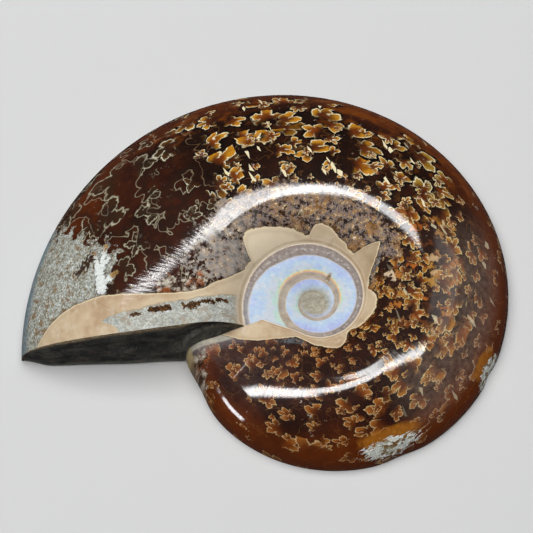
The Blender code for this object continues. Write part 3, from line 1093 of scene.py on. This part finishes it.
# cream stone with its clouds and crack; painted shade on the right-hand arms, beside the ring and along a
# furrow, and painted light on the upper-left arm
def creamStone(at, creamEdge):
    turn, share, x, y, spreadX, spreadY = at.turn, at.share, at.x, at.y, at.spreadX, at.spreadY
    broadGrain, crumbling = at.broadGrain, at.crumbling
    creamCloud = drift(spreadX, spreadY, 0.16, 3.0, 41.0)
    cream = blend((creamCloud * 1.1 + 0.35).clamp(), creamColours["cream"], creamColours["shade"])
    paleCloud = drift(spreadX, spreadY, 0.5, 4.0, 43.0, 0.7).ramp(0.0, 0.8)
    roseCloud = drift(spreadX, spreadY, 0.3, 4.0, 45.0, 0.6).ramp(0.05, 0.8)
    cream = blend(paleCloud * 0.55, cream, creamColours["pale"])
    cream = blend(roseCloud * 0.75, cream, creamColours["rose"])
    # painted light: lighter cream on the upper-left arm
    cream = blend((turn - 0.16).bell(0.06) * share.ramp(0.5, 0.4) * 0.5, cream, creamColours["light"])
    # painted shade: darker cream on the right-hand arms and beside the ring
    paintedShade = (turn - 0.47).bell(0.05) * share.ramp(0.26, 0.33) + (turn - 0.34).bell(0.03) * 0.5
    paintedShade = paintedShade + (turn - 0.13).bell(0.035) * (share - 0.285).bell(0.016) * 1.3
    cream = blend((paintedShade * (creamCloud * 0.4 + 0.7)).clamp() * 0.75, cream, creamColours["hollow"])
    # painted shade: a dark brown line along a furrow between the vein and the upper-left arm
    grooveShade = (share - 0.30 + (turn - 0.10) * 0.9).bell(0.010)
    grooveShade = grooveShade * turn.ramp(0.085, 0.10) * turn.ramp(0.18, 0.16)
    cream = blend((grooveShade * (1.0 + crumbling * 0.5)).clamp() * 0.8, cream, creamColours["grooveShade"])
    # more painted light on the upper-left arm
    cream = blend((turn - 0.20).bell(0.13) * share.ramp(0.50, 0.40) * 0.85, cream, creamColours["glow"])
    crackAlong, crackOff = alongLine(x, y, *veinCrack)
    cream = blend((crackOff + crackAlong * 0.02).bell(0.06) * 0.5, cream, creamColours["crack"])
    cream = blend((creamEdge - 0.75).bell(0.5) * 0.25, cream, creamColours["border"])
    cream = blend(creamEdge.ramp(0.34, 0.08), cream, creamColours["rim"])
    cream = blend(creamEdge.ramp(0.12, 0.0) * 0.7, cream, creamColours["edge"])
    dirt = (broadGrain * 0.5 + creamCloud * 0.5).ramp(0.1, 0.9)
    cream = blend(dirt * 0.3, cream, creamColours["dirt"])
    return cream


# the vein and the star round the small whorls, with dark scree beside the star
def layCreamStone(at, colour, creamEdge, cream):
    turn, fineGrain, edgeNoise = at.turn, at.fineGrain, at.edgeNoise
    scree = creamEdge.ramp(-1.5, -0.9) * ((turn - 0.885).bell(0.035) + (turn - 0.49).bell(0.03)).clamp()
    screeTint = blend(fineGrain.ramp(-0.5, 0.7), creamColours["darkScree"], creamColours["paleScree"])
    colour = blend(scree * (0.7 + edgeNoise * 0.4).clamp(), colour, screeTint)
    colour = blend(creamEdge.bell(0.35) * 0.5, colour, creamColours["outline"])
    colour = blend(creamEdge.ramp(-0.08, 0.08), colour, cream)
    return colour


# edges of the grey patch under the vein, and its dark spots with their sizes, millimetres from the middle
patchTop = ((-31.5, -14.2), (-30, -13.0), (-28, -12.2), (-24.5, -11.6), (-20, -10.6), (-15, -9.8),
            (-11, -9.0), (-7, -7.6), (-4, -7.0))
patchFoot = ((-31.5, -13.7), (-30, -14.2), (-28.4, -15.1), (-27.6, -16.4), (-26.5, -22.0), (-4, -22.5))
patchSpots = ((-24.6, -12.6, 0.8), (-19.9, -11.6, 1.5), (-14.2, -10.9, 1.3), (-10.9, -10.0, 0.9),
              (-8.4, -9.2, 0.8))
patchColours = {
    "pale": (208, 208, 200),
    "blue": (142, 158, 166),
    "darkSpot": (46, 28, 20),
    "ochreSpot": (150, 108, 60),
    "rim": (174, 142, 92),
}


# grey patch between the vein and the cut
def layGreyPatch(at, colour, speckle):
    turn, share, x, y, fineGrain, broadGrain = at.turn, at.share, at.x, at.y, at.fineGrain, at.broadGrain
    edgeNoise, crumbling = at.edgeNoise, at.crumbling
    fromTop = curve(x, patchTop) - y + edgeNoise * 0.5 + crumbling * 0.15
    patchEdge = fromTop.atMost(y - curve(x, patchFoot) + edgeNoise * 0.4).atMost((0.3 - turn) * 60.0)
    patch = blend(0.35, speckle, patchColours["pale"])
    patch = blend(broadGrain.ramp(-0.1, -0.9) * 0.7, patch, patchColours["blue"])
    spots = wire(at.tree, farOff)
    for spotX, spotY, spotSize in patchSpots:
        _, off = alongLine(x, y, spotX - spotSize, spotY - spotSize * 0.2, spotX + spotSize, spotY)
        spots = spots.atLeast(spotSize * 0.5 - off + edgeNoise * 0.5 + crumbling * 0.7)
    spotTint = blend(fineGrain.ramp(-0.3, 1.2), patchColours["darkSpot"], patchColours["ochreSpot"])
    patch = blend(spots.ramp(0.0, 0.2), patch, spotTint)
    patch = blend(fromTop.ramp(0.35, 0.0) * 0.7, patch, patchColours["rim"])
    patchZone = patchEdge.ramp(-0.08, 0.1) * x.ramp(-31.8, -30.8) * share.ramp(0.25, 0.28)
    colour = blend(patchZone, colour, patch)
    return colour, patchZone


pearlColours = {
    "light": (226, 228, 232),
    "shade": (138, 146, 172),
    "veil": (186, 184, 194),
    "crumb": (228, 226, 222),
    "dent": (142, 150, 168),
    "speck": (150, 150, 160),
    "pearl": ((0.05, (164, 172, 222)), (0.24, (172, 190, 230)), (0.36, (180, 206, 226)),
              (0.46, (204, 208, 218)), (0.56, (184, 218, 210)), (0.66, (204, 218, 190)),
              (0.76, (220, 200, 212)), (0.88, (188, 180, 226)), (1.0, (168, 180, 226))),
    "fringe": ((0.0, (180, 226, 180)), (0.35, (230, 228, 130)), (0.65, (238, 164, 100)),
               (1.0, (222, 140, 150))),
}


# mother of pearl, with a coloured fringe next to the whorl inside it
def motherOfPearl(at, across, firstWhorl):
    angle, poleX, poleY, crumbling = at.angle, at.poleX, at.poleY, at.crumbling
    hue = drift(poleX, poleY, 0.16, 2.0, 61.0) * 0.18 + (angle * 2.0 + 0.8).sine() * 0.08
    hue = hue + drift(poleX, poleY, 0.8, 4.0, 62.0, 0.7) * 0.17
    pearl = colourRamp(hue + across * 0.45 + 0.15, pearlColours["pearl"])
    fringe = (across - 0.80).bell(0.06) * firstWhorl * (angle - 2.2).cosine().ramp(-0.3, 0.5)
    rainbow = colourRamp((across - 0.71) * 6.0, pearlColours["fringe"])
    pearl = blend(fringe, pearl, rainbow)
    growth = drift(angle * 7.0 + across * across * 3.0, across * 1.2, 1.7, 3.0, 66.0)
    pearl = blend(growth.ramp(0.1, 0.9) * 0.5, pearl, pearlColours["light"])
    pearl = blend(growth.ramp(-0.2, -1.0) * 0.45, pearl, pearlColours["shade"])
    pearl = blend(0.12, pearl, pearlColours["veil"])
    pearl = blend(crumbling.ramp(0.1, 0.7) * 0.5, pearl, pearlColours["crumb"])
    pearl = blend(crumbling.ramp(-0.15, -0.8) * 0.45, pearl, pearlColours["dent"])
    specks = drift(poleX, poleY, 2.2, 3.0, 67.0, 0.7).ramp(0.1, 1.0)
    pearl = blend(specks * 0.25, pearl, pearlColours["speck"])
    return pearl


# how wide the grey band inside the seam is, as a share of the whorl, along the turn
bandWidths = ((0.0, 0.10), (0.08, 0.14), (0.16, 0.22), (0.25, 0.31), (0.36, 0.31), (0.5, 0.21),
              (0.75, 0.18), (1.0, 0.16))
bandColours = {
    "pale": (156, 146, 140),
    "dark": (104, 92, 88),
    "crumb": (204, 198, 192),
    "line": (214, 208, 202),
    "blue": (140, 148, 160),
    "paleTan": (190, 176, 158),
    "darkTan": (144, 130, 116),
}


# the grey band inside the seam, tan towards its end
def greyBand(at, across, bandWidth, tan):
    turn, poleX, poleY, crumbling = at.turn, at.poleX, at.poleY, at.crumbling
    mottle = (drift(poleX, poleY, 0.9, 4.0, 71.0, 0.75) * 0.6 + 0.4).clamp()
    band = blend(mottle, bandColours["pale"], bandColours["dark"])
    band = blend((crumbling - 0.25).ramp(0.0, 0.4) * 0.6, band, bandColours["crumb"])
    midLine = (across - bandWidth * 0.5).bell(0.04) * crumbling.ramp(-0.2, 0.4)
    band = blend(midLine * 0.4, band, bandColours["line"])
    band = blend(turn.ramp(0.12, 0.02) * 0.5, band, bandColours["blue"])
    band = blend(turn.ramp(0.70, 0.96), band, tan)
    return band


whorlColours = {
    "pearlEdge": (214, 206, 198),
    "tanEdge": (222, 214, 204),
    "darkChip": (112, 88, 66),
    "paleChip": (202, 184, 158),
    "darkPit": (134, 128, 108),
    "palePit": (190, 184, 170),
}


# the small whorls: grey band, mother of pearl, tan band, a chipped place and the pit
def smallWhorls(at):
    turn, share, poleX, poleY, poleDistance = at.turn, at.share, at.poleX, at.poleY, at.poleDistance
    edgeNoise, crumbling = at.edgeNoise, at.crumbling
    logShare = ((1.0 / shell["seam"]) * share).atLeast(0.001).log(math.e)
    whorl = logShare * (-1.0 / math.log(shell["whorlGrowth"]))
    across = whorl.fraction() + crumbling * 0.012 + edgeNoise * 0.012
    firstWhorl = whorl.ramp(1.02, 0.98)
    tanMottle = (drift(poleX, poleY, 0.7, 3.0, 73.0) * 0.5 + 0.4).clamp()
    tan = blend(tanMottle, bandColours["paleTan"], bandColours["darkTan"])
    pearl = motherOfPearl(at, across, firstWhorl)
    bandWidth = curve(turn, bandWidths) + edgeNoise * 0.025 + crumbling * 0.022
    band = greyBand(at, across, bandWidth, tan)
    small = blend((bandWidth - across).ramp(-0.02, 0.02) * firstWhorl, pearl, band)
    small = blend((across - bandWidth).bell(0.02) * firstWhorl * 0.5, small, whorlColours["pearlEdge"])
    small = blend((across - 0.85).ramp(-0.02, 0.02), small, tan)
    small = blend((whorl - 1.0).ramp(0.0, 0.02) * (0.16 - across).ramp(-0.02, 0.02), small, tan)
    tanEdge = (across - 0.14).bell(0.02) * whorl.ramp(0.98, 1.02)
    small = blend(tanEdge * 0.5, small, whorlColours["tanEdge"])
    chipX, chipY = poleX - 2.7, poleY - 4.7
    chipAlong = (chipX * 0.5 + chipY * 0.86) / 1.25
    chipAcross = (chipX * 0.86 - chipY * 0.5) / 0.5
    chipReach = (chipAlong * chipAlong + chipAcross * chipAcross) ** 0.5
    chipped = 1.0 - chipReach + crumbling * 0.5 + edgeNoise * 0.5
    chipTint = blend(crumbling.ramp(-0.4, 0.5), whorlColours["darkChip"], whorlColours["paleChip"])
    small = blend(chipped.ramp(0.0, 0.3) * 0.9, small, chipTint)
    pitTint = blend((crumbling * 0.6 + 0.5).clamp(), whorlColours["darkPit"], whorlColours["palePit"])
    small = blend((poleDistance + edgeNoise * 0.6).ramp(3.9, 2.0), small, pitTint)
    return small


seamColours = {
    "seam": (230, 216, 194),
    "dark": (150, 116, 82),
    "pale": (228, 210, 190),
    "grey": (128, 112, 104),
}


# the fine lines along the seam
def drawSeam(at, colour):
    share, seamHere, fineCloud, edgeNoise = at.share, at.seamHere, at.fineCloud, at.edgeNoise
    crumbling = at.crumbling
    ringNoise = crumbling * 0.0015 + edgeNoise * 0.002
    lineFade = (fineCloud * 0.5 + 0.5).clamp()
    colour = blend((share - seamHere + ringNoise).bell(0.004) * 0.75, colour, seamColours["seam"])
    outerDark = (share - seamHere * 1.035 + ringNoise).bell(0.003) * lineFade
    outerPale = (share - seamHere * 1.07 + ringNoise).bell(0.003) * lineFade
    innerGrey = (share - seamHere * 0.965 + ringNoise).bell(0.003)
    colour = blend(outerDark * 0.6, colour, seamColours["dark"])
    colour = blend(outerPale * 0.5, colour, seamColours["pale"])
    colour = blend(innerGrey * 0.4, colour, seamColours["grey"])
    return colour


# polish: glassy on the shell, duller on the cream and grey stone, dull in the middle
def polish(shader, at, dull, insideSeam):
    turn, share, angle, depth = at.turn, at.share, at.angle, at.depth
    crestHere = turn ** 4.0 * (shell["seam"] * shell["whorlGrowth"] - shell["crest"]) + shell["crest"]
    glossFrom = (0.16 - turn).atLeast(0.0) * 2.8 + 0.90
    brushed = drift(angle * 46.0, depth * 5.0, 1.0, 3.0, 85.0, 0.7)
    glossy = (share / crestHere - glossFrom + brushed * 0.04).ramp(0.0, 0.12)
    gloss = (1.0 - dull * 0.78) * (1.0 - insideSeam * 0.85) * glossy
    gloss = (gloss * (0.80 + brushed * 0.36)).clamp() * turn.ramp(0.94, 0.915)
    plug(shader.inputs["Roughness"], 0.34 + dull * 0.1 + insideSeam * 0.2)
    plug(shader.inputs["Coat Weight"], gloss)
    shader.inputs["Coat Roughness"].default_value = 0.045
    shader.inputs["Specular IOR Level"].default_value = 0.02
    scratches = drift(angle * 60.0, depth * 3.0, 1.0, 2.0, 81.0)
    scratches = scratches + drift(at.spreadX, at.spreadY, 3.0, 2.0, 83.0) * 0.4
    addBump(shader, scratches, 0.0000022, ("Coat Normal", "Normal"))


# the polished side: each layer lies on the ones before it
def finishPolishedShell(material):
    tree, shader = openMaterial(material)
    at = ShellPlace(tree)
    colour = brownStone(at)
    for layer in (layThreads, layLeaves, scatterChips, scatterCrumbs, scatterRubble, fadeMargins,
                  growCrystals):
        colour = layer(at, colour)
    speckle = speckledStone(at)
    colour, leftZone = layGreyCorner(at, colour, speckle)
    colour = growFingers(at, colour)
    creamEdge = creamOutline(at)
    colour = layCreamStone(at, colour, creamEdge, creamStone(at, creamEdge))
    colour, patchZone = layGreyPatch(at, colour, speckle)
    insideSeam = (at.share - at.seamHere).ramp(0.002, -0.002)
    colour = blend(insideSeam, colour, smallWhorls(at))
    colour = drawSeam(at, colour)
    plug(shader.inputs["Base Color"], colour)
    dull = creamEdge.ramp(-0.1, 0.1).atLeast(leftZone).atLeast(patchZone)
    polish(shader, at, dull, insideSeam)


stoneColours = {
    "dark": (36, 36, 33),
    "middle": (98, 93, 80),
    "pale": (134, 132, 120),
    "rust": (104, 66, 46),
    "ochre": (104, 78, 40),
    "crumb": (206, 186, 146),
    "darkCrumb": (132, 104, 66),
    "ledge": (112, 106, 92),
}


# the broken cut: dark stone, its pale crumbling top edge and the lighter strip along the foot
def finishBrokenStone(material):
    tree, shader = openMaterial(material)
    along, down = readSpiral(tree)
    x, _, z = readMillimetres(tree)
    blotch = drift(x, z * 1.5, 0.30, 4.0, 1.0, 0.7)
    grain = drift(x, z, 1.8, 3.0, 2.0, 0.75)
    mottle = (blotch * 1.1 + grain * 0.6 + 0.30).clamp()
    colour = blend(mottle, stoneColours["dark"], stoneColours["middle"])
    rust = (drift(x, z, 0.35, 3.0, 7.0) - 0.35).ramp(0.0, 0.3)
    rust = rust * along.ramp(0.15, 0.3) * along.ramp(0.75, 0.5)
    colour = blend(rust * 0.8, colour, stoneColours["rust"])
    ledge = (down - 0.60 + (along - 0.8) * 0.5 + blotch * 0.05).bell(0.05) * along.ramp(0.45, 0.65)
    colour = blend(ledge * (grain * 0.8 + 0.6).clamp(), colour, stoneColours["ledge"])
    colour = blend(along.ramp(0.80, 0.97) * down.ramp(0.75, 0.35) * 0.6, colour, stoneColours["ochre"])
    foot = (down + grain * 0.06 + blotch * 0.06).ramp(0.82, 0.95) * along.ramp(0.78, 0.68)
    colour = blend(foot * 0.65, colour, stoneColours["pale"])
    crumb = (down + grain * 0.07 + blotch * 0.04).ramp(0.13, 0.05)
    crumbTint = blend(grain.ramp(-0.3, 0.5), stoneColours["darkCrumb"], stoneColours["crumb"])
    colour = blend(crumb, colour, crumbTint)
    plug(shader.inputs["Base Color"], colour)
    shader.inputs["Roughness"].default_value = 0.55
    addBump(shader, grain * 0.5 + blotch, 0.0002, ("Normal",))


sawn = {
    "chamberAngle": 18.0,         # degrees
    "bow": 0.10,                  # how far a chamber wall bows forward, in turns
    "livingChamber": 0.42,        # the first part of the spiral, filled with mud, has no chamber walls
    "darkMud": (86, 84, 76),
    "paleMud": (132, 122, 104),
    "lining": (206, 190, 158),
    "walls": (50, 34, 26),
    "crystal": ((0.0, (58, 38, 26)), (0.3, (112, 72, 38)), (0.55, (164, 126, 78)), (0.8, (196, 180, 150)),
                (1.0, (150, 150, 142))),
}


# the flat back: whorl walls and chamber walls in honey and grey crystal, as a sawn ammonite shows them
def finishSawnFace(material):
    tree, shader = openMaterial(material)
    x, y, _ = readMillimetres(tree)
    x, y = x - pole.x * milli, y - pole.y * milli
    radius = (x * x + y * y) ** 0.5
    onward = (math.radians(shell["apertureAngle"]) / math.tau - y.math("ARCTAN2", x) / math.tau).fraction()
    whorl = (shell["rimRadius"] * milli / radius.atLeast(0.3)).log(math.e) / math.log(shell["whorlGrowth"])
    level = whorl - onward + drift(x, y, 0.1, 2.0, 1.0) * 0.012
    inside = level.fraction()
    path = level.floor() + onward
    chambered = path.ramp(sawn["livingChamber"] - 0.02, sawn["livingChamber"] + 0.01)
    bowed = path + sawn["bow"] * (inside * math.pi).sine() * 0.5
    chamber = bowed * (360.0 / sawn["chamberAngle"])
    fromMiddle = (chamber.fraction() - 0.5).absolute()
    septum = fromMiddle.ramp(0.455, 0.485) * chambered
    wall = (inside - 0.5).absolute().ramp(0.455, 0.475)
    lot = lots(chamber.floor(), level.floor(), 4.0)[0]
    cloud = drift(x, y, 0.25, 4.0, 3.0, 0.6)
    crystal = colourRamp(lot * 0.8 + cloud * 0.15 + 0.1, sawn["crystal"])
    mud = blend((cloud * 0.5 + 0.5).clamp(), sawn["darkMud"], sawn["paleMud"])
    lining = (fromMiddle.ramp(0.32, 0.46) + wall).clamp()
    crystal = blend(lining * 0.5, crystal, sawn["lining"])
    colour = blend(chambered, mud, crystal)
    colour = blend((septum + wall).clamp(), colour, sawn["walls"])
    plug(shader.inputs["Base Color"], colour)
    plug(shader.inputs["Roughness"], 0.38 + cloud.absolute() * 0.1)
    addBump(shader, drift(x, y * 0.15, 3.0, 2.0, 9.0), 0.00003, ("Normal",))


names = ("polishedShell", "brokenStone", "sawnFace")
polishedShell, brokenStone, sawnFace = [bpy.data.materials.new(name) for name in names]
sideMesh = evaluateTree("polishedSide", buildShellTree(), shell, polishedShell)
print("polished side", len(sideMesh.vertices), "points")
shellMesh, pole = closeShell(sideMesh)
shellMesh.shade_smooth()
shellMesh.set_sharp_from_angle(angle=math.radians(38.0))
finishPolishedShell(polishedShell)
finishBrokenStone(brokenStone)
finishSawnFace(sawnFace)
print("finishes", [(m.name, len(m.node_tree.nodes)) for m in shellMesh.materials])
ammonite = bpy.data.objects.new("ammonite", shellMesh)
bpy.context.scene.collection.objects.link(ammonite)

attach(ammonite, "root")
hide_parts("ammonite_half")


studio = {
    "elevation": 69.5,            # degrees above the floor
    "distance": 0.4709,           # metres from the camera to what it aims at
    "lens": 162.0,                # millimetres
    "aim": Vector((0.00008, 0.00281, 0.0)),
    "surroundings": 0.045,        # how strongly the surroundings light the piece
    "backdrop": 0.65,             # how bright they look behind it
    "sky": (235, 240, 245),
    "floor": (208, 208, 208),
    # start and end in metres, width and glow of each lamp, and whether it only gleams or only lights
    "lamps": (
        ("softKey", (-0.62, 0.12, 0.90), (0.38, 0.12, 0.90), 0.7, 5.0, False),
        ("backLeft", (-0.46, 0.442, 0.90), (-0.02, 0.463, 0.90), 0.016, 34.0, True),
        ("backBend", (-0.02, 0.450, 0.90), (0.12, 0.390, 0.90), 0.12, 18.0, True),
        ("backMiddle", (0.11, 0.400, 0.90), (0.165, 0.440, 0.90), 0.06, 24.0, True),
        ("backRight", (0.16, 0.445, 0.90), (0.34, 0.385, 0.90), 0.075, 19.0, True),
        ("overheadLeft", (-0.72, -0.40, 0.90), (-0.09, -0.04, 0.90), 0.10, 30.0, True),
        ("overheadMiddle", (-0.10, -0.02, 0.90), (0.11, 0.035, 0.90), 0.075, 24.0, True),
        ("overheadRight", (0.11, 0.035, 0.90), (0.40, -0.01, 0.90), 0.045, 26.0, True),
        ("haze", (0.45, 0.10, 0.90), (0.75, 0.55, 0.90), 0.28, 1.3, True),
        ("lowLeft", (-0.82, -0.38, 0.08), (-0.66, -0.59, 0.057), 0.13, 22.0, True),
    ),
}


def makeCamera():
    data = bpy.data.cameras.new("camera")
    data.sensor_width = 36.0
    data.lens = studio["lens"]
    data.clip_start = 0.01
    data.clip_end = 20.0
    camera = bpy.data.objects.new("camera", data)
    tilt = math.radians(studio["elevation"])
    back = Vector((0.0, -math.cos(tilt), math.sin(tilt)))
    camera.location = studio["aim"] + back * studio["distance"]
    camera.rotation_euler = (math.radians(90.0) - tilt, 0.0, 0.0)
    bpy.context.scene.collection.objects.link(camera)
    bpy.context.scene.camera = camera


# a long soft lamp from start to end, facing the piece
def makeLamp(name, start, end, width, glow, gleams):
    start, end = Vector(start), Vector(end)
    middle = (start + end) / 2
    along = (end - start).normalized()
    toPiece = -(middle - along * middle.dot(along)).normalized()
    data = bpy.data.lights.new(name, "AREA")
    data.shape = "RECTANGLE"
    data.size, data.size_y = (end - start).length, width
    data.energy = glow * math.pi * data.size * width
    lamp = bpy.data.objects.new(name, data)
    lamp.matrix_world = Matrix((along, (-toPiece).cross(along), -toPiece)).transposed().to_4x4()
    lamp.location = middle
    lamp.visible_glossy = gleams
    lamp.visible_diffuse = not gleams
    bpy.context.scene.collection.objects.link(lamp)


# the surroundings light the piece weakly, and look paler to the camera
def makeWorld():
    world = bpy.data.worlds.new("studio")
    world.use_nodes = True
    tree = world.node_tree
    background = tree.nodes["Background"]
    plug(background.inputs["Color"], studio["sky"])
    seen = Wire(tree, tree.nodes.new("ShaderNodeLightPath").outputs["Is Camera Ray"])
    strength = seen * (studio["backdrop"] - studio["surroundings"]) + studio["surroundings"]
    plug(background.inputs["Strength"], strength)
    bpy.context.scene.world = world


def makeFloor():
    bpy.ops.mesh.primitive_plane_add(size=6.0, location=(0, 0, cadBox[0].z))
    floor = bpy.context.object
    floor.name = "floor"
    floor.visible_glossy = False  # the real piece lies on something dark, which its polish mirrors
    material = bpy.data.materials.new("paleFloor")
    _, shader = openMaterial(material)
    plug(shader.inputs["Base Color"], studio["floor"])
    shader.inputs["Roughness"].default_value = 0.8
    floor.data.materials.append(material)
    return floor


makeCamera()
for lamp in studio["lamps"]:
    makeLamp(*lamp)
makeWorld()
bpy.context.scene.view_settings.view_transform = "Standard"
floor = makeFloor()
print("studio", len(studio["lamps"]), "lamps")
